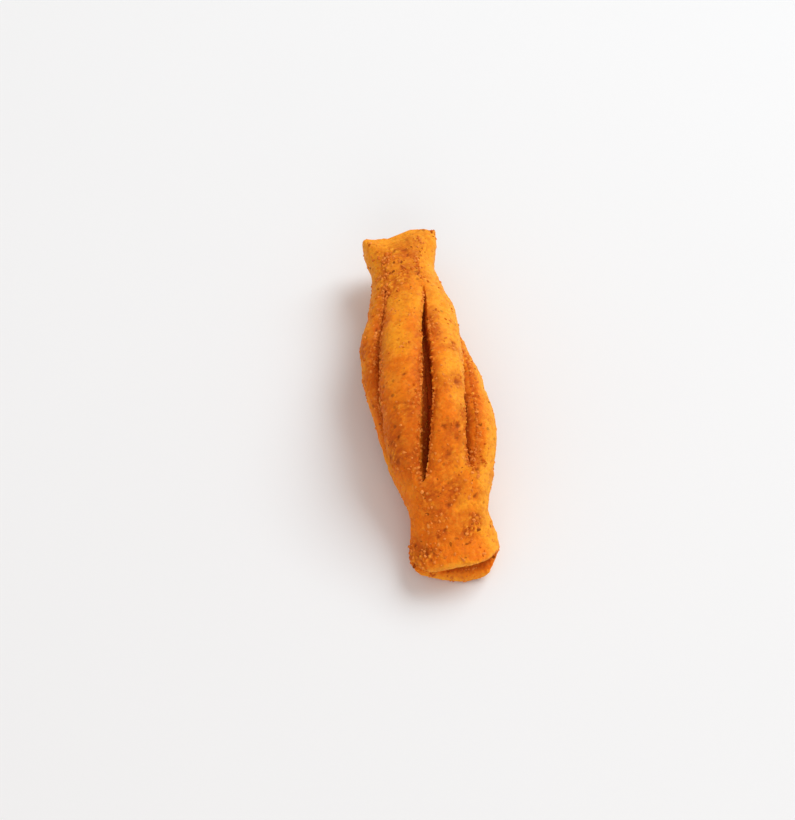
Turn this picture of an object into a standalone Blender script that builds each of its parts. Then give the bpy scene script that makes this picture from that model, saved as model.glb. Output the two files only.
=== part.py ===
"""Mathri: a fried savoury pastry. A thin dough disc with parallel slits is rolled up, so that the strips
between the slits bow out round the roll, and both ends are pinched flat.

Metres, +Z up. The roll lies along Y with its near end at -Y, on the flat spot under its belly. The origin
is the bottom centre of its bounding box.
"""

import math
from bisect import bisect_right
from collections import namedtuple
from functools import lru_cache

import bmesh
import bpy
from mathutils import Vector, noise

LENGTH = 0.076

# The roll's full width and height, the height of its middle above the floor, and how far the middle lies to
# the right, at shares of the length from the near end. The belly's middle is lower than half its height, so
# the floor flattens it.
Station = namedtuple("Station", "share width height lift lean")
NEAR_TIP = Station(0.080, 0.0178, 0.0084, 0.0042, 0.0006)
NEAR_NECK = Station(0.180, 0.0156, 0.0114, 0.0072, 0.0007)
FAR_NECK = Station(0.890, 0.0133, 0.0100, 0.0099, -0.0004)
FAR_TIP = Station(0.995, 0.0156, 0.0072, 0.0095, 0.0)
STATIONS = (
    NEAR_TIP,
    Station(0.115, 0.0174, 0.0092, 0.0047, 0.0006),
    NEAR_NECK,
    Station(0.300, 0.0211, 0.0170, 0.0088, 0.0008),
    Station(0.400, 0.0230, 0.0208, 0.0100, 0.0006),
    Station(0.500, 0.0232, 0.0214, 0.0102, 0.0000),
    Station(0.600, 0.0218, 0.0202, 0.0101, -0.0005),
    Station(0.680, 0.0199, 0.0174, 0.0102, -0.0006),
    Station(0.770, 0.0173, 0.0138, 0.0101, 0.0),
    FAR_NECK,
    Station(0.965, 0.0151, 0.0080, 0.0096, -0.0002),
    FAR_TIP,
)
BELLY_SHARE = 0.5

# The slits between the strips. An angle is from the top at mid-length, clockwise seen from the near end. The
# turn is how many degrees a slit turns round the roll over its whole length, and the bend is how much further
# round it lies at a quarter of the length from the middle, either way. Floor is where across a slit its
# deepest line runs, from -1 to 1: at 0 both its walls are steep, and at -0.5 its right wall slopes gently.
# The strip after a slit bows out by its bow, most at the share bow_at.
Slit = namedtuple("Slit", "angle turn bend start end width depth floor bow bow_at")
SLITS = (
    Slit(-121, 104, -6, 0.30, 0.80, 0.0019, 0.0040, 0.0, 0.0009, 0.67),
    Slit(-70, 130, -6, 0.32, 0.81, 0.0021, 0.0026, -0.5, 0.0002, 0.50),
    Slit(-0.8, 99, -5.5, 0.235, 0.80, 0.0027, 0.0054, 0.0, 0.0, 0.50),
    Slit(52, 140, 16, 0.255, 0.78, 0.0023, 0.0034, -0.5, 0.0010, 0.34),
    Slit(102, 112, 9, 0.26, 0.79, 0.0020, 0.0042, 0.0, 0.0004, 0.55),
    Slit(148, 104, 0, 0.31, 0.83, 0.0022, 0.0034, 0.4, 0.0, 0.50),
    Slit(195, 104, -4, 0.26, 0.80, 0.0024, 0.0044, 0.0, 0.0003, 0.45),
)
BOW_LENGTH = 0.13  # how far along a strip's bow reaches, as a share of the length
SLIT_SKEW = 0.58  # below 1, a slit is widest nearer the near end
STEEP_SECTION, SLOPING_SECTION = 3.0, 1.5  # the higher, the flatter a slit's floor and the steeper its walls
STRIP_DROP = 0.0015  # how far a strip's edge lies below its crown
STRIP_FLATNESS = 2.8  # the higher, the flatter the crown and the tighter its edges

# The flat ends: an upper and a lower lip of dough with a crease between them.
NEAR_BULGE, FAR_BULGE = 0.0013, 0.0006
CREASE_DEPTH = 0.0024
CREASE_MOUTH = 0.85  # where the crease turns in, from 0 at the skin to 1 at its bottom
CREASE_HEIGHT = -0.2  # above the middle of the end, as a share of its half height
CREASE_GAPE = 0.5  # how much wider the crease opens on its right
CREASE_INSET = 0.12  # from the end's sides, as a share of its half width
CORNER_SHARPNESS = 0.5  # how much of the bulge the corners of the ends lack
NEAR_ROUND = 0.0017  # how far the near end's middle sticks out past its two corners
UPPER_LIP_REACH = 0.0014  # how much further the near upper lip sticks out, most on its left
LOWER_LIP_REACH = 0.0019  # the same for the lower lip, most on its right
UPPER_CORNER, LOWER_CORNER = 6, 14  # the higher, the squarer the near lips' corners
LIP_PARTING = 1.5  # the higher, the closer to the middle the two lips part
LOWER_LIP_INSET = 0.10  # how much narrower the lower lip is on its right, as a share of the half width
FAR_SQUARENESS = 0.75  # the far end's section: 0 is an ellipse, and towards 1 it turns square
FAR_WAVE = 0.0010  # how far the far end's edge waves: in on its left, out on its right
WAVE_STEEPNESS = 4  # the higher, the more sudden the step from one side of the wave to the other

LUMP_DEPTH, LUMP_SIZE = 0.0004, 0.0065  # soft unevenness of the dough
DENT_DEPTH, DENT_SIZE = 0.00015, 0.0022

# How finely the skin is divided. A strip and its slit take these points of a ring.
STRIP_POINTS = 9
SLIT_POINTS = 5
SIDE_RINGS = 46
CAP_SHARES = (0.04, 0.13, 0.30, 0.55, 0.80, 0.91)  # from the skin to the crease

DOUGH_COLOUR = (0.80, 0.30, 0.035, 1.0)
DOUGH_ROUGHNESS = 0.75

UNIT_POINTS = STRIP_POINTS + SLIT_POINTS
RING_POINTS = UNIT_POINTS * len(SLITS)
FULL_TURN = 2 * math.pi


def smooth(value):
    """Eases from 0 to 1 as value goes from 0 to 1."""
    value = min(max(value, 0.0), 1.0)
    return value * value * (3 - 2 * value)


def mix(low, high, share):
    return low + (high - low) * share


def slopes(number):
    """How fast each measure of the roll changes with the share of the length at a station."""
    low, high = STATIONS[max(number - 1, 0)], STATIONS[min(number + 1, len(STATIONS) - 1)]
    return [(b - a) / (high.share - low.share) for a, b in zip(low[1:], high[1:])]


@lru_cache(maxsize=None)
def outline(share):
    """The roll's half width, half height, middle height and lean: a smooth curve through the stations."""
    after = bisect_right([station.share for station in STATIONS], share)
    after = min(max(after, 1), len(STATIONS) - 1)
    low, high = STATIONS[after - 1], STATIONS[after]
    span = high.share - low.share
    along = min(max((share - low.share) / span, 0.0), 1.0)
    leaving, arriving = along * (1 - along) ** 2 * span, along**2 * (along - 1) * span
    ends = zip(low[1:], high[1:], slopes(after - 1), slopes(after))
    width, height, lift, lean = (mix(a, b, smooth(along)) + leaving * c + arriving * d for a, b, c, d in ends)
    return width / 2, height / 2, lift, lean


def opening(slit, share):
    """How far a slit is open at a share of the length: 0 past its ends and 1 at its widest."""
    along = (share - slit.start) / (slit.end - slit.start)
    if not 0 < along < 1:
        return 0.0
    return math.sin(math.pi * along**SLIT_SKEW)


def slit_angle(index, share):
    """The angle of a slit's middle. Counting on past the last slit gives the first, one turn further."""
    turns, place = divmod(index, len(SLITS))
    slit, along = SLITS[place], share - 0.5
    return math.radians(slit.angle + slit.bend * (along / 0.25) ** 2 + slit.turn * along) + turns * FULL_TURN


def slit_half_angle(index, share):
    """Half the angle that a slit's mouth takes of the ring."""
    slit = SLITS[index % len(SLITS)]
    half_width, half_height, _, _ = outline(share)
    angle = slit_angle(index, share)
    pace = math.hypot(half_width * math.cos(angle), half_height * math.sin(angle))
    width = slit.width * max(opening(slit, share) ** 0.8, 0.25)
    return width / 2 / pace


def bow(index, share):
    """How far the strip after slit index stands out."""
    slit = SLITS[index % len(SLITS)]
    return slit.bow * math.exp(-(((share - slit.bow_at) / BOW_LENGTH) ** 2))


def edge_bow(index, other, share):
    """How far that strip stands out where it meets its neighbour, the strip after slit other. They are level
    past the ends of the slit between them."""
    level = (bow(index, share) + bow(other, share)) / 2
    return mix(level, bow(index, share), opening(SLITS[max(index, other) % len(SLITS)], share) ** 0.5)


def strip_point(index, place, share):
    """The angle and outward offset of a point of the strip after slit index, for a place from -1 to 1."""
    start = slit_angle(index, share) + slit_half_angle(index, share)
    end = slit_angle(index + 1, share) - slit_half_angle(index + 1, share)
    edge, other = (index, index - 1) if place < 0 else (index + 1, index + 1)
    open_share = opening(SLITS[edge % len(SLITS)], share) ** 0.5
    drop = STRIP_DROP * open_share * abs(place) ** STRIP_FLATNESS
    stand = mix(bow(index, share), edge_bow(index, other, share), place**2)
    return mix(start, end, (place + 1) / 2), stand - drop


def slit_point(index, place, share):
    """The same for a point inside a slit, for a place from -1 to 1 with its deepest line at 0."""
    slit = SLITS[index % len(SLITS)]
    deep = opening(slit, share) ** 0.5
    slope = min(2 * abs(slit.floor), 1)
    steep_place = math.sin(math.pi / 2 * place)
    across = mix(place, mix(steep_place, place, slope) + slit.floor * (1 - place**2), deep)
    fall = 1 - abs(place) ** mix(STEEP_SECTION, SLOPING_SECTION, slope)
    stand = mix(edge_bow(index - 1, index, share), edge_bow(index, index - 1, share), (place + 1) / 2)
    angle = slit_angle(index, share) + across * slit_half_angle(index, share)
    return angle, stand - deep * (STRIP_DROP + (slit.depth - STRIP_DROP) * fall)


def ring_places(share):
    """The angle and outward offset of each point of a ring, from the first slit round."""
    places = []
    for index in range(len(SLITS)):
        half = SLIT_POINTS // 2
        for step in range(0, half + 1):
            places.append(slit_point(index, step / (half + 1), share))
        for step in range(STRIP_POINTS):
            across = math.sin(math.pi / 2 * (2 * step / (STRIP_POINTS - 1) - 1))
            places.append(strip_point(index, across, share))
        for step in range(-half, 0):
            places.append(slit_point(index + 1, step / (half + 1), share))
    return places


def side_point(share):
    """The number of the ring's point that lies nearest the right side of the roll."""
    angles = [angle for angle, _ in ring_places(share)]
    return min(range(RING_POINTS), key=lambda i: abs(math.remainder(angles[i] - math.pi / 2, FULL_TURN)))


def even_angle(number, first, near_to):
    """The angle of a point when the ring's points are spread evenly from point first, at the right side."""
    angle = math.pi / 2 + FULL_TURN * (number - first) / RING_POINTS
    return angle + FULL_TURN * round((near_to - angle) / FULL_TURN)


def flattening(share):
    """How far a ring is towards a flat end: 0 on the belly and the necks, 1 at a tip."""
    near = (NEAR_NECK.share - share) / (NEAR_NECK.share - NEAR_TIP.share)
    far = (share - FAR_NECK.share) / (FAR_TIP.share - FAR_NECK.share)
    return smooth(max(near, far))


def lip_shift(share, side, height):
    """How far the dough is pulled along Y at an end, at a side and height from -1 to 1 across the end."""
    near = 1 - smooth((share - NEAR_TIP.share) / (NEAR_NECK.share - NEAR_TIP.share))
    far = smooth((share - FAR_NECK.share) / (FAR_TIP.share - FAR_NECK.share))
    upper = UPPER_LIP_REACH * smooth(1.2 - side) * smooth(LIP_PARTING * height)
    lower = LOWER_LIP_REACH * smooth(0.85 + 0.85 * side) * smooth(-LIP_PARTING * height)
    reach = (NEAR_ROUND + upper + lower) * (1 - abs(side) ** (UPPER_CORNER if height > 0 else LOWER_CORNER))
    return far * FAR_WAVE * (1 - abs(side)) * math.tanh(WAVE_STEEPNESS * side) - near * reach


def skin_point(share, angle, offset, inward=0.0):
    """A point of the skin. Inward goes from 0 on the side of the roll to 1 in the crease of a flat end."""
    half_width, half_height, lift, lean = outline(share)
    pace = math.hypot(half_width * math.cos(angle), half_height * math.sin(angle))
    is_near = share < BELLY_SHARE
    power = 1 if is_near else 1 - FAR_SQUARENESS * flattening(share)
    side = math.copysign(abs(math.sin(angle)) ** power, math.sin(angle))
    height = math.copysign(abs(math.cos(angle)) ** power, math.cos(angle))
    x = half_width * side + offset * half_height * side / pace
    z = half_height * height + offset * half_width * height / pace
    x *= 1 - CREASE_INSET * inward
    if is_near:
        x *= 1 - LOWER_LIP_INSET * flattening(share) ** 4 * smooth(side) * smooth(-LIP_PARTING * height)
    closed = inward ** (1 + CREASE_GAPE * smooth(0.5 + side))
    z = mix(z, CREASE_HEIGHT * half_height, closed)
    bulge = (NEAR_BULGE if is_near else FAR_BULGE) * (1 - abs(2 * inward - 1) ** 4)
    bulge *= 1 - CORNER_SHARPNESS * side**6
    bulge -= CREASE_DEPTH * smooth((inward - CREASE_MOUTH) / (1 - CREASE_MOUTH))
    y = (share - 0.5) * LENGTH + lip_shift(share, side, height) * (1 - inward**3)
    y += -bulge if is_near else bulge
    point = Vector((x + lean, y, z + lift))
    outward = Vector((half_height * side / pace, 0, half_width * height / pace)) * (1 - inward)
    lump = LUMP_DEPTH * noise.noise(point / LUMP_SIZE) + DENT_DEPTH * noise.noise(point / DENT_SIZE)
    point += outward * lump
    point.z = max(point.z, 0.0)
    return point


def rings():
    """Each ring of the skin, from the near crease to the far one: its points, the point at its right side,
    and whether it is a line, whose upper and lower points fall together."""
    side_steps = [step / (SIDE_RINGS - 1) for step in range(SIDE_RINGS)]
    places = [(NEAR_TIP.share, inward) for inward in (1.0, *reversed(CAP_SHARES))]
    places += [(mix(NEAR_TIP.share, FAR_TIP.share, step), 0.0) for step in side_steps]
    places += [(FAR_TIP.share, inward) for inward in (*CAP_SHARES, 1.0)]
    near_first, far_first = side_point(NEAR_NECK.share), side_point(FAR_NECK.share)
    for share, inward in places:
        first = near_first if share < BELLY_SHARE else far_first
        flat = flattening(share)
        ring = []
        for number, (angle, offset) in enumerate(ring_places(share)):
            angle = mix(angle, even_angle(number, first, angle), flat)
            ring.append(skin_point(share, angle, offset * (1 - flat), inward))
        yield ring, first, inward == 1.0


def skin_vertices(skin, ring, first, is_line):
    """The vertices of a ring. In a line, an upper and a lower point equally far from first are one."""
    vertices = [skin.verts.new(point) for point in ring]
    if is_line:
        for step in range(1, RING_POINTS // 2):
            upper, lower = (first - step) % RING_POINTS, (first + step) % RING_POINTS
            skin.verts.remove(vertices[lower])
            vertices[lower] = vertices[upper]
    return vertices


def skin_mesh():
    mesh = bpy.data.meshes.new("mathri")
    skin = bmesh.new()
    grid = [skin_vertices(skin, *ring) for ring in rings()]
    for near, far in zip(grid, grid[1:]):
        for number in range(RING_POINTS):
            after = (number + 1) % RING_POINTS
            corners = dict.fromkeys((near[number], near[after], far[after], far[number]))
            skin.faces.new(corners)
    bmesh.ops.recalc_face_normals(skin, faces=skin.faces)
    skin.to_mesh(mesh)
    skin.free()
    return mesh


def centre_on_origin(mesh):
    """Moves the mesh so that the origin is at the bottom centre of its box."""
    for axis in (0, 1):
        reach = [vertex.co[axis] for vertex in mesh.vertices]
        middle = (min(reach) + max(reach)) / 2
        for vertex in mesh.vertices:
            vertex.co[axis] -= middle


def dough():
    material = bpy.data.materials.new("fried_dough")
    material.use_nodes = True
    shader = material.node_tree.nodes["Principled BSDF"]
    shader.inputs["Base Color"].default_value = DOUGH_COLOUR
    shader.inputs["Roughness"].default_value = DOUGH_ROUGHNESS
    shader.inputs["Metallic"].default_value = 0.0
    return material


def build():
    for old in list(bpy.data.objects):
        bpy.data.objects.remove(old)
    mesh = skin_mesh()
    centre_on_origin(mesh)
    mesh.materials.append(dough())
    mesh.shade_smooth()
    roll = bpy.data.objects.new("mathri", mesh)
    bpy.context.scene.collection.objects.link(roll)


build()
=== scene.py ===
"""A mathri: a fried savoury roll of slit dough, dressed with its grain, crumbs and spice flecks.

Everything is in metres, +Z up. The roll lies along Y with its near end at -Y. A share is a place along its
length, from 0 at the near end to 1 at the far end. An angle goes round it, clockwise from the top as seen
from the near end.
"""

import math
import random
from bisect import bisect_right
from collections import namedtuple
from functools import lru_cache

import bmesh
import bpy
import numpy as np
from bpy.props import FloatProperty, FloatVectorProperty, IntProperty, PointerProperty
from mathutils import Matrix, Vector, noise


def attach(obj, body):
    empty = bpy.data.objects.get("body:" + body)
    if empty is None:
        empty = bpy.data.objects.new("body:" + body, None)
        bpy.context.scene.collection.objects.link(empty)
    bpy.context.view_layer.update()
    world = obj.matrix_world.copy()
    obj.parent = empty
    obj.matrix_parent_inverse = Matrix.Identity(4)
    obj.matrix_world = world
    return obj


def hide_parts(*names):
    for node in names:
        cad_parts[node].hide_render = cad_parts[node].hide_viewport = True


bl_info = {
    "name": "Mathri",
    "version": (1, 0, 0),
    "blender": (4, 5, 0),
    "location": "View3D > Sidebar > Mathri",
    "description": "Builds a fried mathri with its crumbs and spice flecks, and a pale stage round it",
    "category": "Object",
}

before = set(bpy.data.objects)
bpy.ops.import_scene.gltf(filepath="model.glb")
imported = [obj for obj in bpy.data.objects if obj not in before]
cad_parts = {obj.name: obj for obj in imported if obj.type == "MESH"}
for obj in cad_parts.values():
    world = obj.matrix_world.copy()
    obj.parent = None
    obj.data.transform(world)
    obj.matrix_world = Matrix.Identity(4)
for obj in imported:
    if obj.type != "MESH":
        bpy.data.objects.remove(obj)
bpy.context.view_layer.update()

NODE = "mathri"
BODY = "root"
ROLL = "dough_roll"
CRUMBS = "pale_crumbs"
FLECKS = "spice_flecks"

MM = 0.001
FULL_TURN = 2 * math.pi

# ---------------- The roll's form ----------------

LENGTH = 0.076

# The roll's full width and height, the height of its middle above the floor, and how far the middle lies
# to the right. The belly's middle is lower than half its height, so the floor flattens it.
Station = namedtuple("Station", "share width height lift lean")
NEAR_TIP = Station(0.080, 0.0178, 0.0084, 0.0042, 0.0006)
NEAR_NECK = Station(0.180, 0.0156, 0.0114, 0.0072, 0.0007)
FAR_NECK = Station(0.890, 0.0133, 0.0100, 0.0099, -0.0004)
FAR_TIP = Station(0.995, 0.0156, 0.0072, 0.0095, 0.0)
STATIONS = (
    NEAR_TIP,
    Station(0.115, 0.0174, 0.0092, 0.0047, 0.0006),
    NEAR_NECK,
    Station(0.300, 0.0211, 0.0170, 0.0088, 0.0008),
    Station(0.400, 0.0230, 0.0208, 0.0100, 0.0006),
    Station(0.500, 0.0232, 0.0214, 0.0102, 0.0000),
    Station(0.600, 0.0218, 0.0202, 0.0101, -0.0005),
    Station(0.680, 0.0199, 0.0174, 0.0102, -0.0006),
    Station(0.770, 0.0173, 0.0138, 0.0101, 0.0),
    FAR_NECK,
    Station(0.965, 0.0151, 0.0080, 0.0096, -0.0002),
    FAR_TIP,
)
BELLY_SHARE = 0.5

# The slits between the strips. The turn is how many degrees a slit turns round the roll over its whole
# length, and the bend is how much further round it lies at BEND_AT from the middle, either way. Floor is
# where across a slit its deepest line runs, from -1 to 1: at 0 both its walls are steep, and at -0.5 its
# right wall slopes gently. The strip after a slit bows out by its bow, most at the share bow_at. Where a
# slit shows an inner layer of dough, ledge says on which side.
Slit = namedtuple("Slit", "angle turn bend start end width depth floor bow bow_at ledge")
SLITS = (
    Slit(-121, 104, -6, 0.30, 0.80, 0.0019, 0.0040, 0.0, 0.0009, 0.67, 0),
    Slit(-70, 130, -6, 0.32, 0.81, 0.0021, 0.0026, -0.5, 0.0002, 0.50, 0),
    Slit(-0.8, 99, -5.5, 0.235, 0.80, 0.0027, 0.0054, 0.0, 0.0, 0.50, -1),
    Slit(52, 140, 16, 0.255, 0.78, 0.0023, 0.0034, -0.5, 0.0010, 0.34, 0),
    Slit(102, 112, 9, 0.26, 0.79, 0.0020, 0.0042, 0.0, 0.0004, 0.55, 1),
    Slit(148, 104, 0, 0.31, 0.83, 0.0022, 0.0034, 0.4, 0.0, 0.50, 0),
    Slit(195, 104, -4, 0.26, 0.80, 0.0024, 0.0044, 0.0, 0.0003, 0.45, -1),
)
BEND_AT = 0.25  # as a share of the length
SLIT_SKEW = 0.58  # below 1, a slit is widest nearer the near end
DEPTH_TAPER, MOUTH_TAPER = 0.5, 0.8  # how slowly a slit deepens and opens from its ends
MOUTH_LEAST = 0.25  # the share of its width that its mouth opens from
STRIP_DROP = 0.0015  # how far a strip's edge lies below its crown
STRIP_FLATNESS = 2.8  # the higher, the flatter the crown and the tighter its edges
EDGE_TIGHTNESS = 5  # the higher, the narrower the crumbly edge of a strip
BOW_LENGTH = 0.13  # how far along a strip's bow reaches, as a share of the length

# A slit's section from its left mouth to its right one: shares of its half width and of its depth.
OPEN_SECTION = (
    (-1, 0), (-1.06, 0.30), (-0.98, 0.75), (-0.5, 1),
    (0.5, 1), (0.98, 0.75), (1.06, 0.30), (1, 0),
)
LEDGE_SECTION = (
    (-1, 0), (-1.05, 0.30), (-0.95, 0.58), (-0.15, 0.68), (0.0, 0.82),
    (0.15, 0.9), (0.85, 0.86), (1.10, 0.45), (1, 0),
)
LEDGE_END, LEDGE_FADE = 0.64, 0.08  # the share where the ledge ends, and over which it fades
SLOPING_SECTION = 1.5  # the higher, the flatter the floor of a slit with a gentle slope
SLOPE_PALENESS = 0.75  # how much less of a slit's painted shade, crumbly edge and flank a gentle slope has than a steep one
SLOPE_GAIN, SLOPE_LAG = 1.8, 0.7  # how fast it sheds them on the way up, and how late that starts
DARK_DEPTH = 0.0034  # how far below a strip's edge a slit's floor is wholly in painted shade

# The flat ends: an upper and a lower lip of dough with a crease between them.
NEAR_BULGE, FAR_BULGE = 0.0013, 0.0006
CREASE_DEPTH = 0.0024
CREASE_MOUTH = 0.85  # where the crease turns in, from 0 at the skin to 1 at its bottom
CREASE_HEIGHT = -0.2  # above the middle of the end, as a share of its half height
CREASE_GAPE = 0.5  # how much wider the crease opens on its right
CREASE_INSET = 0.12  # from the end's sides, as a share of its half width
CREASE_FILL, CREASE_FILL_SIZE = 0.0019, 0.0012  # crumbs that part of the crease is filled with
CREASE_FILL_LEVEL, CREASE_FILL_SPREAD = 0.6, 1.2  # how full it is, and how unevenly
CREASE_SHADE_LEFT, CREASE_SHADE_RIGHT, CREASE_SHADE_FADE = 0.84, 0.81, 0.17  # how far in the crease's painted shade begins on its left and its right, and over how much it fades in
FAR_CREASE_TAPER = 3  # the lower, the more the far crease's painted shade fades out to its sides
BULGE_SQUARENESS = 4  # the higher, the flatter the bulge of an end and the tighter its rim
CORNER_LOSS, CORNER_TIGHTNESS = 0.5, 6  # how much of it the corners lack, and how near to them that is
NEAR_ROUND = 0.0017  # how far the near end's middle sticks out past its two corners
UPPER_LIP_REACH = 0.0014  # how much further the near upper lip sticks out, most on its left
LOWER_LIP_REACH = 0.0019  # the same for the lower lip, most on its right
UPPER_LIP_SPREAD, LOWER_LIP_SPREAD = 1.2, 0.85  # the higher, the further across the lips reach out
UPPER_CORNER, LOWER_CORNER = 6, 14  # the higher, the squarer the near lips' corners
LIP_PARTING = 1.5  # the higher, the closer to the middle the two lips part
LIP_ROOT = 3  # the higher, the further into the crease the lips reach out
LOWER_LIP_INSET = 0.15  # how much narrower the lower lip is on its right, as a share of the half width
INSET_TIGHTNESS = 4  # the higher, the nearer the tip
FAR_SQUARENESS = 0.75  # the far end's section: 0 is an ellipse, and towards 1 it turns square
FAR_WAVE = 0.0010  # how far the far end's edge waves: in on its left, out on its right
WAVE_STEEPNESS = 4  # the higher, the more sudden the step between the two

# Soft unevenness of the dough.
LUMP_DEPTH, LUMP_SIZE = 0.0004, 0.0065
DENT_DEPTH, DENT_SIZE = 0.00015, 0.0022

# How finely the skin is divided.
STRIP_POINTS = 28
SLIT_POINTS = 14
SIDE_RINGS = 280
CAP_RINGS = 16
CAP_SPACING = 1.2  # above 1, an end's rings lie closer at its rim
RING_POINTS = (STRIP_POINTS + SLIT_POINTS) * len(SLITS)

# Small pits in the skin, and places where it is browned, each with its radius.
Spot = namedtuple("Spot", "share angle radius")
PITS = [Spot(*values) for values in (
    (0.933, 3, 0.0005), (0.915, 9, 0.0005), (0.868, -2, 0.0005), (0.848, 21, 0.0007),
    (0.805, -40, 0.0008), (0.790, -35, 0.0006), (0.993, 37, 0.0005), (0.620, 1, 0.0006),
    (0.602, 42, 0.0005), (0.510, -23, 0.0005), (0.496, -9, 0.0005), (0.470, 27, 0.0007),
    (0.348, 18, 0.0006), (0.350, 4, 0.0005), (0.321, 17, 0.0004), (0.286, 5, 0.0005),
    (0.352, -60, 0.0006), (0.356, -47, 0.0005), (0.316, -31, 0.0005), (0.294, -36, 0.0006),
    (0.274, 32, 0.0008), (0.170, -2, 0.0006), (0.150, 39, 0.0005), (0.138, 29, 0.0005),
    (0.130, 20, 0.0005), (0.125, 14, 0.0004), (0.131, -13, 0.0006), (0.125, -22, 0.0005),
    (0.105, -52, 0.0006), (0.100, -42, 0.0006), (0.113, -62, 0.0005), (0.105, -33, 0.0005),
    (0.087, -35, 0.0005), (0.304, 32, 0.0008), (0.272, 31, 0.0007), (0.247, 42, 0.0006),
    (0.186, 40, 0.0005), (0.210, 5, 0.0005), (0.327, -72, 0.0006), (0.306, -60, 0.0006),
    (0.659, 21, 0.0005), (0.771, -42, 0.0006), (0.742, -46, 0.0005), (0.722, -43, 0.0004),
    (0.690, -50, 0.0006), (0.664, -49, 0.0004), (0.641, -55, 0.0006), (0.607, -55, 0.0005),
    (0.575, -62, 0.0006),
)]
PIT_DEPTH = 0.00035
WOBBLE, WOBBLE_SIZE, WOBBLE_SEED = 0.00045, 0.0007, 7  # how uneven the outline of a pit is
BROWNINGS = [Spot(*values) for values in (
    (0.920, 4, 0.0032), (0.945, 5, 0.0026), (0.903, -20, 0.0024), (0.870, 0, 0.0038),
    (0.860, -32, 0.0026), (0.825, -12, 0.0034), (0.800, -40, 0.0022), (0.754, -46, 0.0014),
    (0.700, -48, 0.0016), (0.650, -75, 0.0024), (0.650, -52, 0.0018), (0.615, -52, 0.0028),
    (0.561, -67, 0.0032), (0.470, -65, 0.0032), (0.410, -30, 0.0024), (0.363, -56, 0.0042),
    (0.306, -54, 0.0040), (0.302, -35, 0.0030), (0.690, 21, 0.0020), (0.645, 22, 0.0022),
    (0.426, -16, 0.0020), (0.592, 40, 0.0016), (0.471, 27, 0.0022), (0.334, 11, 0.0020),
    (0.282, 5, 0.0018), (0.376, 29, 0.0018), (0.282, 35, 0.0020), (0.201, 8, 0.0026),
    (0.199, -29, 0.0026), (0.155, -22, 0.0030), (0.142, 30, 0.0018), (0.126, 18, 0.0018),
    (0.125, -19, 0.0018), (0.105, -50, 0.0032), (0.085, -85, 0.0022), (0.500, 120, 0.0050),
    (0.350, 190, 0.0050), (0.700, -120, 0.0045), (0.150, 180, 0.0040), (0.900, 170, 0.0035),
)]


def smooth(value):
    """Eases from 0 to 1 as value goes from 0 to 1."""
    value = min(max(value, 0.0), 1.0)
    return value * value * (3 - 2 * value)


def mix(low, high, share):
    return low + (high - low) * share


def slopes(number):
    """How fast each measure of the roll changes with the share of the length at a station."""
    low, high = STATIONS[max(number - 1, 0)], STATIONS[min(number + 1, len(STATIONS) - 1)]
    return [(b - a) / (high.share - low.share) for a, b in zip(low[1:], high[1:])]


@lru_cache(maxsize=None)
def outline(share):
    """The roll's half width, half height, middle height and lean: a smooth curve through the stations."""
    after = bisect_right([station.share for station in STATIONS], share)
    after = min(max(after, 1), len(STATIONS) - 1)
    low, high = STATIONS[after - 1], STATIONS[after]
    span = high.share - low.share
    along = min(max((share - low.share) / span, 0.0), 1.0)
    leaving, arriving = along * (1 - along) ** 2 * span, along**2 * (along - 1) * span
    ends = zip(low[1:], high[1:], slopes(after - 1), slopes(after))
    measures = [mix(a, b, smooth(along)) + leaving * c + arriving * d for a, b, c, d in ends]
    width, height, lift, lean = measures
    return width / 2, height / 2, lift, lean


def opening(slit, share):
    """How far a slit is open at a share of the length: 0 past its ends and 1 at its widest."""
    along = (share - slit.start) / (slit.end - slit.start)
    if not 0 < along < 1:
        return 0.0
    return math.sin(math.pi * along**SLIT_SKEW)


def depth_share(slit, share):
    """How deep a slit is at a share of the length: 0 past its ends and 1 at its deepest."""
    return opening(slit, share) ** DEPTH_TAPER


def slit_angle(index, share):
    """The angle of a slit's middle. Counting on past the last slit gives the first, one turn further."""
    turns, place = divmod(index, len(SLITS))
    slit, along = SLITS[place], share - 0.5
    degrees = slit.angle + slit.bend * (along / BEND_AT) ** 2 + slit.turn * along
    return math.radians(degrees) + turns * FULL_TURN


def slit_half_angle(index, share):
    """Half the angle that a slit's mouth takes of the ring."""
    slit = SLITS[index % len(SLITS)]
    half_width, half_height, _, _ = outline(share)
    angle = slit_angle(index, share)
    pace = math.hypot(half_width * math.cos(angle), half_height * math.sin(angle))
    width = slit.width * max(opening(slit, share) ** MOUTH_TAPER, MOUTH_LEAST)
    return width / 2 / pace


# One point of a ring: its angle, how far it stands out, and how far it is inside a slit, at a slit's edge
# or down the flank of a strip.
Place = namedtuple("Place", "angle offset inner edge flank")


def section_point(section, across):
    """A point of a section, for across from -1 at its first corner to 1 at its last."""
    at = (across + 1) / 2 * (len(section) - 1)
    low = min(int(at), len(section) - 2)
    return [mix(a, b, at - low) for a, b in zip(section[low], section[low + 1])]


def gentleness(slit):
    """How far a slit is from two steep walls, at 0, to a gentle slope on one side, at 1."""
    return min(2 * abs(slit.floor), 1)


def slit_section(slit, share, across):
    """Where a point of a slit lies across it and how deep, in shares of its half width and its depth."""
    ledge = abs(slit.ledge) * smooth((LEDGE_END - share) / LEDGE_FADE)
    side = -slit.ledge or 1
    sections = zip(section_point(OPEN_SECTION, side * across), section_point(LEDGE_SECTION, side * across))
    spread, depth = (mix(plain, layered, ledge) for plain, layered in sections)
    slope = gentleness(slit)
    spread = mix(side * spread, across + slit.floor * (1 - across**2), slope)
    return spread, mix(depth, 1 - abs(across) ** SLOPING_SECTION, slope)


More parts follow.
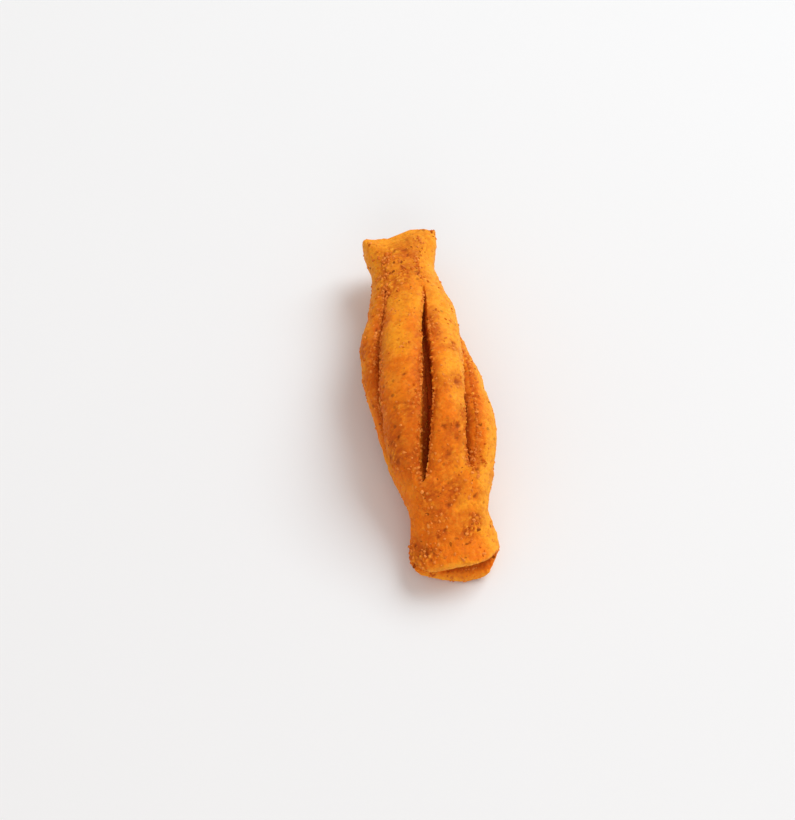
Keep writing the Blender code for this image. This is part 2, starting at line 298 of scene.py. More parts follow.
def slit_places(index, share):
    """The points inside a slit, from its left mouth to its right one."""
    slit = SLITS[index % len(SLITS)]
    deep = depth_share(slit, share)
    middle, half = slit_angle(index, share), slit_half_angle(index, share)
    left, right = edge_bow(index - 1, index, share), edge_bow(index, index - 1, share)
    fall = slit.depth - STRIP_DROP
    # How dark the slit's painted shade gets: the deeper the slit, the darker.
    shade = min(fall / DARK_DEPTH, 1)
    places = []
    for step in range(1, SLIT_POINTS + 1):
        across = 2 * step / (SLIT_POINTS + 1) - 1
        spread, depth = slit_section(slit, share, across)
        angle = middle + mix(across, spread, deep) * half
        offset = mix(left, right, (across + 1) / 2) - deep * (STRIP_DROP + fall * depth)
        uphill = across * math.copysign(1, -slit.floor)
        gentle = gentleness(slit) * smooth(SLOPE_GAIN * uphill - SLOPE_LAG)
        # inner is the slit's painted shade; on a gentle slope clear lessens it, the crumbly edge and the
        # flank.
        inner, clear = deep * depth * shade, 1 - SLOPE_PALENESS * gentle
        places.append(Place(angle, offset, inner * clear, (deep - inner) * clear, deep * clear))
    return places


def bow(index, share):
    """How far the strip after slit index stands out."""
    slit = SLITS[index % len(SLITS)]
    return slit.bow * math.exp(-(((share - slit.bow_at) / BOW_LENGTH) ** 2))


@lru_cache(maxsize=None)
def edge_bow(index, other, share):
    """How far that strip stands out where it meets its neighbour, the strip after slit other. They are
    level past the ends of the slit between them."""
    between = SLITS[max(index, other) % len(SLITS)]
    level = (bow(index, share) + bow(other, share)) / 2
    return mix(level, bow(index, share), depth_share(between, share))


def strip_places(index, share):
    """The points of the strip after slit index."""
    start = slit_angle(index, share) + slit_half_angle(index, share)
    end = slit_angle(index + 1, share) - slit_half_angle(index + 1, share)
    places = []
    for step in range(STRIP_POINTS):
        across = math.sin(math.pi / 2 * (2 * step / (STRIP_POINTS - 1) - 1))
        edge, other = (index, index - 1) if across < 0 else (index + 1, index + 1)
        deep = depth_share(SLITS[edge % len(SLITS)], share)
        stand = mix(bow(index, share), edge_bow(index, other, share), across**2)
        drop = STRIP_DROP * deep * abs(across) ** STRIP_FLATNESS
        angle = mix(start, end, (across + 1) / 2)
        crumbly = deep * abs(across) ** EDGE_TIGHTNESS
        places.append(Place(angle, stand - drop, 0.0, crumbly, deep * across**2))
    return places


@lru_cache(maxsize=None)
def ring_places(share):
    """The points of a ring, from the first slit round."""
    places = []
    for index in range(len(SLITS)):
        places += slit_places(index, share) + strip_places(index, share)
    return places


def side_point(share):
    """The number of the ring's point that lies nearest the right side of the roll."""
    gaps = [abs(math.remainder(place.angle - math.pi / 2, FULL_TURN)) for place in ring_places(share)]
    return gaps.index(min(gaps))


def even_angle(number, first, near_to):
    """The angle of a ring's point when they are spread evenly, with point first at the right side."""
    angle = math.pi / 2 + FULL_TURN * (number - first) / RING_POINTS
    return angle + FULL_TURN * round((near_to - angle) / FULL_TURN)


def flattening(share):
    """How far a ring is towards a flat end: 0 on the belly and the necks, 1 at a tip."""
    near = (NEAR_NECK.share - share) / (NEAR_NECK.share - NEAR_TIP.share)
    far = (share - FAR_NECK.share) / (FAR_TIP.share - FAR_NECK.share)
    return smooth(max(near, far))


def towards_right(side):
    """Goes from 0 on the left half of an end to 1 on its right half."""
    return smooth(0.5 + side)


def lip_shift(share, side, height):
    """How far the dough is pulled along Y at an end, at a side and height from -1 to 1 across the end."""
    near = 1 - smooth((share - NEAR_TIP.share) / (NEAR_NECK.share - NEAR_TIP.share))
    far = smooth((share - FAR_NECK.share) / (FAR_TIP.share - FAR_NECK.share))
    upper = UPPER_LIP_REACH * smooth(UPPER_LIP_SPREAD - side) * smooth(LIP_PARTING * height)
    rightwards = smooth(LOWER_LIP_SPREAD + LOWER_LIP_SPREAD * side)
    lower = LOWER_LIP_REACH * rightwards * smooth(-LIP_PARTING * height)
    corner = UPPER_CORNER if height > 0 else LOWER_CORNER
    reach = (NEAR_ROUND + upper + lower) * (1 - abs(side) ** corner)
    return far * FAR_WAVE * (1 - abs(side)) * math.tanh(WAVE_STEEPNESS * side) - near * reach


def end_bulge(side, inward, is_near, place):
    """How far a flat end stands out, less its crease, which crumbs partly fill."""
    bulge = (NEAR_BULGE if is_near else FAR_BULGE) * (1 - abs(2 * inward - 1) ** BULGE_SQUARENESS)
    bulge *= 1 - CORNER_LOSS * side**CORNER_TIGHTNESS
    unevenness = CREASE_FILL_SPREAD * noise.noise(place / CREASE_FILL_SIZE)
    fill = CREASE_FILL * smooth(CREASE_FILL_LEVEL + unevenness)
    return bulge - (CREASE_DEPTH - fill) * smooth((inward - CREASE_MOUTH) / (1 - CREASE_MOUTH))


def skin_point(share, angle, offset=0.0, inward=0.0):
    """A point of the skin. Inward goes from 0 on the side of the roll to 1 in the crease of a flat end."""
    half_width, half_height, lift, lean = outline(share)
    pace = math.hypot(half_width * math.cos(angle), half_height * math.sin(angle))
    is_near = share < BELLY_SHARE
    power = 1 if is_near else 1 - FAR_SQUARENESS * flattening(share)
    side = math.copysign(abs(math.sin(angle)) ** power, math.sin(angle))
    height = math.copysign(abs(math.cos(angle)) ** power, math.cos(angle))
    x = half_width * side + offset * half_height * side / pace
    z = half_height * height + offset * half_width * height / pace
    x *= 1 - CREASE_INSET * inward
    if is_near:
        inset = LOWER_LIP_INSET * flattening(share) ** INSET_TIGHTNESS
        x *= 1 - inset * smooth(side) * smooth(-LIP_PARTING * height)
    closed = inward ** (1 + CREASE_GAPE * towards_right(side))
    z = mix(z, CREASE_HEIGHT * half_height, closed)
    bulge = end_bulge(side, inward, is_near, Vector((x, share * LENGTH, z)))
    y = (share - 0.5) * LENGTH + lip_shift(share, side, height) * (1 - inward**LIP_ROOT)
    y += -bulge if is_near else bulge
    point = Vector((x + lean, y, z + lift))
    outward = Vector((half_height * side / pace, 0, half_width * height / pace)) * (1 - inward)
    lump = LUMP_DEPTH * noise.noise(point / LUMP_SIZE) + DENT_DEPTH * noise.noise(point / DENT_SIZE)
    return point + outward * lump


def ring_steps():
    """The share and inward value of each ring, from the near crease to the far one."""
    caps = [(step / CAP_RINGS) ** CAP_SPACING for step in range(1, CAP_RINGS + 1)]
    sides = [mix(NEAR_TIP.share, FAR_TIP.share, step / (SIDE_RINGS - 1)) for step in range(SIDE_RINGS)]
    near = [(NEAR_TIP.share, inward) for inward in reversed(caps)]
    return [*near, *((share, 0.0) for share in sides), *((FAR_TIP.share, inward) for inward in caps)]


def ring_points(share, inward, first):
    """The points of one ring, and the values inner, edge and flank of each. The crease of the near end is
    darkest on its right, and that of the far end in its middle."""
    flat = flattening(share)
    points, values = [], []
    for number, place in enumerate(ring_places(share)):
        angle = mix(place.angle, even_angle(number, first, place.angle), flat)
        points.append(skin_point(share, angle, place.offset * (1 - flat), inward))
        # The crease's painted shade: darkest on the right of the near end and in the middle of the far
        # end.
        start = mix(CREASE_SHADE_LEFT, CREASE_SHADE_RIGHT, towards_right(math.sin(angle)))
        crease = smooth((inward - start) / CREASE_SHADE_FADE)
        ragged = smooth(1 - abs(inward - start) / CREASE_SHADE_FADE)
        if share > BELLY_SHARE:
            fade = 1 - abs(math.sin(angle)) ** FAR_CREASE_TAPER
            crease, ragged = crease * fade, ragged * fade
        along_side = [value * (1 - flat) for value in (place.inner, place.edge, place.flank)]
        values.append([max(pair) for pair in zip(along_side, (crease, ragged, crease))])
    return points, values


def add_map(mesh, corners):
    """Gives a mesh its map for baking, with a place for each corner of each face."""
    layer = mesh.uv_layers.new(name="OFBake")
    layer.uv.foreach_set("vector", np.array(corners, dtype=np.float32).ravel())


def add_values(mesh, name, values, kind="FLOAT", key="value"):
    mesh.attributes.new(name, kind, "POINT").data.foreach_set(key, values)


def smooth_skin():
    """The roll's mesh before its relief, with the values inner, edge and flank and a map for baking."""
    steps = ring_steps()
    firsts = side_point(NEAR_NECK.share), side_point(FAR_NECK.share)
    points, values, grid = [], [], []
    for share, inward in steps:
        first = firsts[share > BELLY_SHARE]
        ring, ring_values = ring_points(share, inward, first)
        numbers = [len(points) + number for number in range(RING_POINTS)]
        points += ring
        values += ring_values
        if inward == 1.0:
            for step in range(1, RING_POINTS // 2):
                numbers[(first + step) % RING_POINTS] = numbers[(first - step) % RING_POINTS]
        grid.append(numbers)
    mesh = bpy.data.meshes.new(ROLL)
    faces, corners = [], []
    for row, (near, far) in enumerate(zip(grid, grid[1:])):
        for number in range(RING_POINTS):
            after = (number + 1) % RING_POINTS
            loop = (
                (near, number, 0, row),
                (near, after, 1, row),
                (far, after, 1, row + 1),
                (far, number, 0, row + 1),
            )
            face = {}
            for ring, place, ahead, line in loop:
                face.setdefault(ring[place], ((number + ahead) / RING_POINTS, line / (len(grid) - 1)))
            faces.append(tuple(face))
            corners += face.values()
    mesh.from_pydata(points, [], faces)
    add_map(mesh, corners)
    for name, column in zip(("inner", "edge", "flank"), zip(*values)):
        add_values(mesh, name, column)
    return mesh


def drop_loose_points(mesh):
    """Removes the points that the crease lines leave without a face, and turns the faces outwards."""
    skin = bmesh.new()
    skin.from_mesh(mesh)
    loose = [vertex for vertex in skin.verts if not vertex.link_faces]
    bmesh.ops.delete(skin, geom=loose, context="VERTS")
    bmesh.ops.recalc_face_normals(skin, faces=skin.faces)
    skin.to_mesh(mesh)
    skin.free()


def read_skin(mesh):
    """The mesh's points and their normals, as two arrays."""
    points, normals = (np.empty(len(mesh.vertices) * 3, dtype=np.float32) for _ in range(2))
    mesh.vertices.foreach_get("co", points)
    mesh.vertex_normals.foreach_get("vector", normals)
    return points.reshape(-1, 3), normals.reshape(-1, 3)


def read_values(mesh, *names):
    """The named values that the mesh carries, as one array each."""
    arrays = [np.empty(len(mesh.vertices), dtype=np.float32) for _ in names]
    for name, values in zip(names, arrays):
        mesh.attributes[name].data.foreach_get("value", values)
    return arrays


def wobbled(points):
    """The points, each moved a little, so that round spots come out uneven."""
    noise.seed_set(WOBBLE_SEED)
    moves = [noise.noise_vector(Vector(point) / WOBBLE_SIZE) for point in points]
    return points + WOBBLE * np.array(moves)


def closeness(points, spots):
    """How close each point is to the nearest of the spots: 1 at its middle, and less further out."""
    near = np.zeros(len(points), dtype=np.float32)
    for spot in spots:
        middle = np.array(skin_point(spot.share, math.radians(spot.angle)))
        gap = np.linalg.norm(points - middle, axis=1)
        near = np.maximum(near, np.exp(-((gap / spot.radius) ** 2)))
    return near


# The relief of the fried skin. Sizes and reaches are shares of the spacing in the settings.
FINE_GRAIN_SIZE, FINE_GRAIN_HEIGHT = 0.45, 0.7
BLISTER_REACH = 0.6
BEAD_REACH, BEAD_FLATNESS = 0.55, 1.1
BEAD_HEIGHT, BEAD_SUNK = 1.4, 0.38  # sunk is how much of a bead lies below the skin
SPLINTER_SIZE, SPLINTER_HEIGHT = 0.5, 0.6
PATCH_SIZE, PATCH_CONTRAST = 4, 1.3
PATCH_LEAST, PATCH_RISE = 0.45, 0.75

# How crumbly each kind of place is. The slits are calmer towards the far end.
RAGGED_EDGE, RAGGED_INSIDE, RAGGED_BROWNED, RAGGED_PLAIN = 0.9, 0.6, 0.6, 0.20
CALM_START, CALM_FADE, CALM_SHARE = 4 * MM, 8 * MM, 0.5
PIT_SHADE = 0.7  # how much a pit counts as a low place in the painted shade of the hollows
NEAR_PAINTED_LIGHT = 0.7  # how much painted light the skin gets that faces the near end, next to what faces right


def relief(point, settings):
    """How far the fried skin stands out of the smooth one, and how much more a crumbly place does."""
    coarse = noise.noise(point / settings.grain_size)
    fine = noise.noise(point / (settings.grain_size * FINE_GRAIN_SIZE))
    blister = smooth(1 - noise.voronoi(point / settings.blister_size)[0][0] / BLISTER_REACH)
    height = settings.grain_depth * (coarse + FINE_GRAIN_HEIGHT * fine) + settings.blister_height * blister
    bead = smooth(BEAD_FLATNESS - noise.voronoi(point / settings.rag_size)[0][0] / BEAD_REACH)
    splinter = noise.noise(point / (settings.rag_size * SPLINTER_SIZE))
    crumbly = BEAD_HEIGHT * (bead - BEAD_SUNK) + SPLINTER_HEIGHT * splinter
    patch = smooth(0.5 + PATCH_CONTRAST * noise.noise(point / (settings.rag_size * PATCH_SIZE)))
    return height, crumbly * (PATCH_LEAST + PATCH_RISE * patch)


def roughen(mesh, settings):
    """Gives the skin its grain, its crumbly slit edges and its pits, and lays it on the floor."""
    points, normals = read_skin(mesh)
    heights, crumbly = np.array([relief(Vector(point), settings) for point in points]).T
    pits = closeness(wobbled(points), PITS)
    browned = closeness(points, BROWNINGS)
    edge, inner = read_values(mesh, "edge", "inner")
    ragged = np.maximum(RAGGED_EDGE * edge, RAGGED_INSIDE * inner)
    ragged *= 1 - CALM_SHARE * np.clip((points[:, 1] - CALM_START) / CALM_FADE, 0, 1)
    crumbly *= np.clip(np.maximum(ragged, RAGGED_BROWNED * browned) + RAGGED_PLAIN, 0, 1)
    points = points + normals * (heights + settings.rag_depth * crumbly - PIT_DEPTH * pits)[:, None]
    middle = (points.min(axis=0) + points.max(axis=0)) / 2
    points[:, :2] -= middle[:2]
    points[:, 2] = np.maximum(points[:, 2], 0)
    mesh.vertices.foreach_set("co", points.astype(np.float32).ravel())
    marks = {
        "browned": browned,
        # The relief's height: the colours paint shade in its hollows and highlights on its ridges.
        "raised": crumbly - PIT_SHADE * pits,
        "pitted": pits,
        # Painted light: where the skin faces right or towards the near end, where the lamps fall.
        "painted_light_side": np.maximum(normals[:, 0], -NEAR_PAINTED_LIGHT * normals[:, 1]),
    }
    for name, values in marks.items():
        add_values(mesh, name, values.astype(np.float32))
    mesh.update()


# ---------------- Materials ----------------

GLOW_RADIUS, GLOW_SCALE = (1.0, 0.30, 0.06), 1.2 * MM  # how far light spreads in the dough, by colour

# Where the dough is golden, not orange: from where to where a measure counts, and what it adds there.
# These are painted light, and on the flanks partly painted shade.
# Painted light: darker towards the near end and paler towards the far end.
GOLDEN_PAINTED_LIGHT_ALONG = (-30 * MM, 30 * MM, -0.13, 0.10)
# Painted light: golden on the far end.
GOLDEN_PAINTED_LIGHT_FAR_END = (27 * MM, 35 * MM, 0, 0.18)
# Painted light: golden where the skin faces right or towards the near end.
GOLDEN_PAINTED_LIGHT_SIDE = (0.2, 0.8, 0, 0.25)
# Darker down the flanks towards the slits: partly browning, partly painted shade.
DARKER_ON_FLANK = 0.16
GOLDEN_RANGE = (0.34, 0.62)

# Washes of colour over it: from where to where a measure counts, and the share of the colour there.
# Painted light: pale where the skin faces right or towards the near end.
PALE_PAINTED_LIGHT_SIDE_WASH = (0.25, 0.90, 0, 0.50)
# Painted light: pale on the far end.
PALE_PAINTED_LIGHT_FAR_END_WASH = (31 * MM, 36 * MM, 0, 0.30)
# Russet down the flanks is partly browning and partly painted shade; along the crumbly edges it is
# browning.
FLANK_WASH, EDGE_WASH = 0.22, 0.42
MOTTLE_WASH = (0.42, 0.80, 0, 0.45)
DARK_MEAL_WASH = (0.50, 0.85, 0, 0.22)
PALE_MEAL_WASH = (0.42, 0.15, 0, 0.20)
GRAIN_WASH = (0.48, 0.32, 0, 0.32)
BROWNED_WASH = (0.30, 0.66, 0.25, 0.68)
# Painted shade: russet in the hollows of the relief and in the pits.
HOLLOW_PAINTED_SHADE_WASH = (0.02, -0.55, 0, 0.72)
# Painted highlight: pale on the ridges of the relief.
RIDGE_PAINTED_HIGHLIGHT_WASH = (0.10, 0.60, 0, 0.70)
# Darker in the pits: partly their own browning, partly painted shade.
PIT_WASH = (0.25, 1.0, 0, 0.55)
SPICE_WASH = (0.10, 0.26, 0.5, 0.0)
SPICE_PATCHES = (0.50, 0.62)
# Painted shade down the slits and into the end creases, over the inner dough's own colour.
INNER_WASH = (0.03, 0.58, 0, 0.97)
# Painted light: the bottom of a slit turns redder and lighter, against the shadow it lies in.
INNERMOST_RANGE = (0.60, 0.95)

GLOSS_GRAIN, GLOSS_RANGE = (0.3, 0.7), (-0.08, 0.10)  # how much smoother and rougher the grain makes it
MOTTLE_RELIEF = 0.6
DOUGH_RELIEF = 0.22 * MM

SPECKLE_SIZE = 0.15 * MM
SPECKLE_WASH = (0.35, 0.65, 0.0, 0.25)
SPECKLE_COLOUR = (0.30, 0.05, 0.004, 1)
SPECKLE_RELIEF = 0.05 * MM

CARD_PATCH = 0.08
CARD_SHADE = 0.985  # how light its darker patches are


MIX_LOW, MIX_HIGH, MIX_RESULT = 6, 7, 2  # the Mix node's sockets for colours


class Surface:
    """A material's nodes, made one after the other. A socket is linked and any other value is set."""

    def __init__(self, name, roughness, specular=0.12, subsurface=0.0):
        self.material = bpy.data.materials.new(name)
        self.material.use_nodes = True
        self.tree = self.material.node_tree
        self.shader = self.tree.nodes["Principled BSDF"]
        inputs = self.shader.inputs
        inputs["Roughness"].default_value = roughness
        inputs["Specular IOR Level"].default_value = specular
        inputs["Subsurface Weight"].default_value = subsurface
        inputs["Subsurface Radius"].default_value = GLOW_RADIUS
        inputs["Subsurface Scale"].default_value = GLOW_SCALE
        self.place = self.add("ShaderNodeTexCoord").outputs["Object"]

    def add(self, kind, sockets=None, **settings):
        node = self.tree.nodes.new(kind)
        for key, value in settings.items():
            setattr(node, key, value)
        for key, value in (sockets or {}).items():
            self.put(value, node.inputs[key])
        return node

    def put(self, value, socket):
        if isinstance(value, bpy.types.NodeSocket):
            self.tree.links.new(value, socket)
        else:
            socket.default_value = value

    def noise(self, size, detail=3.0, roughness=0.55):
        """Noise from 0 to 1 with lumps of a size in metres."""
        sockets = {"Vector": self.place, "Scale": 1 / size, "Detail": detail, "Roughness": roughness}
        return self.add("ShaderNodeTexNoise", sockets).outputs["Fac"]

    def cells(self, size, output):
        """Scattered grains of a size: each one's own Color, or the Distance to its middle."""
        sockets = {"Vector": self.place, "Scale": 1 / size}
        return self.add("ShaderNodeTexVoronoi", sockets).outputs[output]

    def axis(self, name):
        """The place along an axis, in metres from the roll's middle."""
        return self.add("ShaderNodeSeparateXYZ", {0: self.place}).outputs[name]

    def value(self, name, output="Fac"):
        """A value that the mesh carries."""
        return self.add("ShaderNodeAttribute", attribute_name=name).outputs[output]

    def ramp(self, value, low, high, to_low=0.0, to_high=1.0):
        """Eases from to_low to to_high as value goes from low to high."""
        sockets = {0: value, 1: low, 2: high, 3: to_low, 4: to_high}
        return self.add("ShaderNodeMapRange", sockets, interpolation_type="SMOOTHSTEP").outputs[0]

    def math(self, operation, first, second):
        return self.add("ShaderNodeMath", {0: first, 1: second}, operation=operation).outputs[0]

    def blend(self, share, low, high):
        """Mixes two colours."""
        sockets = {"Factor": share, MIX_LOW: low, MIX_HIGH: high}
        return self.add("ShaderNodeMix", sockets, data_type="RGBA").outputs[MIX_RESULT]

    def paint(self, colour):
        self.put(colour, self.shader.inputs["Base Color"])

    def bump(self, height, distance):
        sockets = {"Height": height, "Distance": distance, "Strength": 1.0}
        self.put(self.add("ShaderNodeBump", sockets).outputs["Normal"], self.shader.inputs["Normal"])


def dough_material(settings):
    """Fried dough: golden orange with russet mottling and dark ground spice, and brown in the slits.
    Painted light makes it paler on its right, near face and far end and on its ridges; painted shade
    darkens its hollows, pits, slits and creases, and partly its flanks.
    """
    look = Surface("fried_dough", settings.roughness, subsurface=0.25)
    pale, russet, umber = settings.pale, settings.russet, settings.umber
    flank, inner, raised = look.value("flank"), look.value("inner"), look.value("raised")
    painted_light_side, along = look.value("painted_light_side"), look.axis("Y")
    mottle = look.noise(3.0 * MM, detail=4, roughness=0.6)
    grain = look.noise(0.6 * MM, detail=3, roughness=0.6)
    speck = look.noise(0.9 * MM, detail=3, roughness=0.7)
    meal = look.cells(0.7 * MM, "Color")
    # paler: random golden patches, plus painted light along the roll, on the far end and on the lit side,
    # less the flanks.
    paler = look.math("ADD", look.noise(8 * MM, detail=2), look.ramp(along, *GOLDEN_PAINTED_LIGHT_ALONG))
    paler = look.math("ADD", paler, look.ramp(along, *GOLDEN_PAINTED_LIGHT_FAR_END))
    paler = look.math("SUBTRACT", paler, look.math("MULTIPLY", flank, DARKER_ON_FLANK))
    paler = look.math("ADD", paler, look.ramp(painted_light_side, *GOLDEN_PAINTED_LIGHT_SIDE))
    browned = look.math("MULTIPLY", look.value("browned"), look.ramp(speck, *BROWNED_WASH))
    spice = look.ramp(look.cells(2.1 * MM, "Distance"), *SPICE_WASH)
    spice = look.math("MULTIPLY", spice, look.ramp(look.noise(5 * MM, detail=2), *SPICE_PATCHES))
    # The slits' colour: painted shade over the inner dough, turning redder and lighter at the bottom as
    # painted light.
    depths = look.blend(look.ramp(inner, *INNERMOST_RANGE), settings.inner_layer_and_shade, settings.innermost)
    # Washes in order; the lit side, far end and ridges are painted light, and the hollows, pits, slits and
    # creases are painted shade.
    washes = (
        (look.ramp(paler, *GOLDEN_RANGE), settings.golden),
        (look.ramp(painted_light_side, *PALE_PAINTED_LIGHT_SIDE_WASH), pale),
        (look.ramp(along, *PALE_PAINTED_LIGHT_FAR_END_WASH), pale),
        (look.math("MULTIPLY", flank, FLANK_WASH), russet),
        (look.math("MULTIPLY", look.value("edge"), EDGE_WASH), russet),
        (look.ramp(mottle, *MOTTLE_WASH), russet),
        (look.ramp(meal, *DARK_MEAL_WASH), russet),
        (look.ramp(meal, *PALE_MEAL_WASH), pale),
        (look.ramp(grain, *GRAIN_WASH), russet),
        (browned, russet),
        (look.ramp(raised, *HOLLOW_PAINTED_SHADE_WASH), russet),
        (look.ramp(raised, *RIDGE_PAINTED_HIGHLIGHT_WASH), pale),
        (look.ramp(look.value("pitted"), *PIT_WASH), umber),
        (spice, umber),
        (look.ramp(inner, *INNER_WASH), depths),
    )
    tone = settings.orange
    for share, colour in washes:
        tone = look.blend(share, tone, colour)
    look.paint(tone)
    smoothest, roughest = (settings.roughness + change for change in GLOSS_RANGE)
    look.put(look.ramp(grain, *GLOSS_GRAIN, smoothest, roughest), look.shader.inputs["Roughness"])
    look.bump(look.math("ADD", grain, look.math("MULTIPLY", mottle, MOTTLE_RELIEF)), DOUGH_RELIEF)
    return look.material


def scrap_material(name, roughness):
    """Crumbs or flecks, each of its own shade."""
    look = Surface(name, roughness, specular=0.05)
    speckle = look.noise(SPECKLE_SIZE, detail=2)
    shade = look.value("shade", "Color")
    look.paint(look.blend(look.ramp(speckle, *SPECKLE_WASH), shade, SPECKLE_COLOUR))
    look.bump(speckle, SPECKLE_RELIEF)
    return look.material


def floor_material(colour):
    """A matt card, a little uneven."""
    look = Surface("floor_card", roughness=0.9, specular=0.1)
    tone = [channel * CARD_SHADE for channel in colour[:3]] + [1]
    look.paint(look.blend(look.noise(CARD_PATCH, detail=2), tone, colour))
    return look.material


# ---------------- Scraps on the roll ----------------

SCRAP_SHAPES = 8
SCRAP_LUMPS = (0.55, 1.35)  # how near and how far a scrap's corners lie, in shares of its radius
SCRAP_STRETCH = (0.8, 1.6)  # its length, in shares of its width
SMALLNESS, DARKNESS = 2, 1.4  # the higher, the more of the scraps are small or dark
SLIT_PAINTED_SHADE = 0.75  # how much darker they are painted at the bottom of a slit, as painted shade
CELL_FILL = 0.3  # a scrap's radius in the map for baking, as a share of its cell
UNDERSIDE_SHARE, UNDERSIDE_START = 0.35, 0.6  # how many scraps the underside has, next to the top


def show(name, mesh):
    piece = bpy.data.objects.new(name, mesh)
    bpy.context.scene.collection.objects.link(piece)
    return piece


def scrap_shape(draws):
    """A lumpy scrap of radius 1, as points and triangles."""
    ball = bmesh.new()
    bmesh.ops.create_icosphere(ball, subdivisions=1, radius=1.0)
    for vertex in ball.verts:
        vertex.co *= draws.uniform(*SCRAP_LUMPS)
    points = [vertex.co.copy() for vertex in ball.verts]
    triangles = [[vertex.index for vertex in face.verts] for face in ball.faces]
    ball.free()
    return points, triangles


def map_point(cell, point):
    """A point's place in the map for baking, in cells. Each scrap has a cell of its own."""
    return cell + Vector((0.5 + CELL_FILL * point.x, 0.5 + CELL_FILL * point.y))


def scatter(name, settings, weights, thickness, sink, seed):
    """One mesh of scraps lying on the roll. The thickness is a share of a scrap's radius, and sink is how
    much of it is under the skin."""
    draws = random.Random(seed)
    skin = bpy.data.objects[ROLL].data
    (inner,) = read_values(skin, "inner")
    places = draws.choices(range(len(skin.vertices)), weights=weights, k=settings.count)
    shapes = [scrap_shape(draws) for _ in range(SCRAP_SHAPES)]
    points, faces, colours, corners = [], [], [], []
    columns = math.ceil(math.sqrt(settings.count))
    for number, place in enumerate(places):
        ball, triangles = draws.choice(shapes)
        radius = mix(settings.smallest, settings.largest, draws.random() ** SMALLNESS)
        normal = skin.vertex_normals[place].vector
        spin = Matrix.Rotation(draws.uniform(0, FULL_TURN), 3, "Z")
        turn = Vector((0, 0, 1)).rotation_difference(normal).to_matrix() @ spin
        stretch = Vector((radius * draws.uniform(*SCRAP_STRETCH), radius, radius * thickness))
        start = skin.vertices[place].co + normal * stretch.z * (1 - 2 * sink)
        cell = Vector((number % columns, number // columns))
        faces += [[len(points) + corner for corner in triangle] for triangle in triangles]
        # Down a slit a scrap is painted darker and less pale, as painted shade.
        depth = float(inner[place])
        share = draws.random() ** DARKNESS * (1 - depth)
        channels = zip(settings.dark, settings.light)
        shade = [mix(dark, light, share) * (1 - SLIT_PAINTED_SHADE * depth) for dark, light in channels]
        for point in ball:
            point_at = start + turn @ (point * stretch)
            point_at.z = max(point_at.z, 0)
            points.append(point_at)
            colours += shade
        for triangle in triangles:
            corners += [map_point(cell, ball[corner]) / columns for corner in triangle]
    mesh = bpy.data.meshes.new(name)
    mesh.from_pydata(points, [], faces)
    add_values(mesh, "shade", colours, "FLOAT_COLOR", "color")
    add_map(mesh, corners)
    return show(name, mesh)


# How many scraps lie on each kind of skin. Patches are a size, and from where to where its noise counts.
CRUMBS_PLAIN, CRUMBS_EDGE, CRUMBS_INSIDE, CRUMBS_BROWNED, CRUMBS_PATCHY = 0.02, 0.6, 0.10, 0.40, 0.10
CRUMB_PATCHES = (4 * MM, 0.1, 0.5)
CRUMB_CLUSTERS, CRUMB_GAPS = (2.2 * MM, -0.1, 0.45), 0.15  # gaps are what is left between the clusters
FLECKS_PLAIN, FLECKS_BROWNED, FLECKS_EDGE, FLECKS_PATCHY = 0.12, 0.9, 0.3, 0.6
FLECK_PATCHES = (5 * MM, 0.05, 0.45)


def patchiness(points, size, low, high):
    """A noise from 0 to 1 at each point, so that scraps lie in patches."""
    return np.array([smooth((noise.noise(Vector(point) / size) - low) / (high - low)) for point in points])


def face_up(normals):
    """1 where the skin faces up, and less on its underside."""
    return UNDERSIDE_SHARE + (1 - UNDERSIDE_SHARE) * np.clip(normals[:, 2] + UNDERSIDE_START, 0, 1)


# ---------------- Settings ----------------


def number_property(name, description, default, **limits):
    return FloatProperty(name=name, description=description, default=default, **limits)


def length_property(name, description, default):
    return number_property(
        name, description, default, min=0, precision=5, subtype="DISTANCE", unit="LENGTH"
    )


def count_property(name, description, default, most):
    return IntProperty(name=name, description=description, default=default, min=0, max=most)


def colour_property(name, description, default):
    limits = {"size": 4, "min": 0, "max": 1, "subtype": "COLOR"}
    return FloatVectorProperty(name=name, description=description, default=(*default, 1.0), **limits)


class RollSettings(bpy.types.PropertyGroup):
    """The fried skin of the roll."""

    grain_size: length_property("Grain size", "Spacing of the lumps in the skin", 1.3 * MM)
    grain_depth: length_property("Grain depth", "Height of the lumps in the skin", 0.12 * MM)
    rag_size: length_property("Rag size", "Spacing of the crumbly bits at the slits' edges", 0.95 * MM)
    rag_depth: length_property("Rag depth", "Height of the crumbly bits at the slits' edges", 0.28 * MM)
    blister_size: length_property("Blister spacing", "Spacing of the small blisters", 3.2 * MM)
    blister_height: length_property("Blister height", "Height of the small blisters", 0.10 * MM)
    # Golden also stands for painted light along the roll, on the far end and on the side facing right.
    golden: colour_property("Golden", "The lightest fried dough", (0.95, 0.350, 0.013))
    orange: colour_property("Orange", "Most of the fried dough", (0.88, 0.215, 0.005))
    # Pale also paints light on the side facing right, the near face, the far end and the ridges.
    pale: colour_property("Pale", "Pale grains in the skin", (0.96, 0.43, 0.045))
    # Russet also paints shade in the hollows, and partly down the flanks.
    russet: colour_property("Russet", "Browned patches", (0.52, 0.090, 0.003))
    # Umber also darkens the pits, partly as painted shade.
    umber: colour_property("Umber", "Spice ground into the dough", (0.16, 0.028, 0.003))
    # The slits and creases: the inner dough's own colour, darkened as painted shade.
    inner_layer_and_shade: colour_property("Inner layer", "Dough inside the slits", (0.30, 0.042, 0.0012))
    # Innermost is painted lighter than the inner layer, as light against the shadow at a slit's bottom.
    innermost: colour_property("Innermost", "Dough at the bottom of the slits", (0.58, 0.083, 0.003))
    roughness: number_property(
        "Roughness", "How matt the skin is", 0.62, min=0.2, max=0.9, subtype="FACTOR"
    )


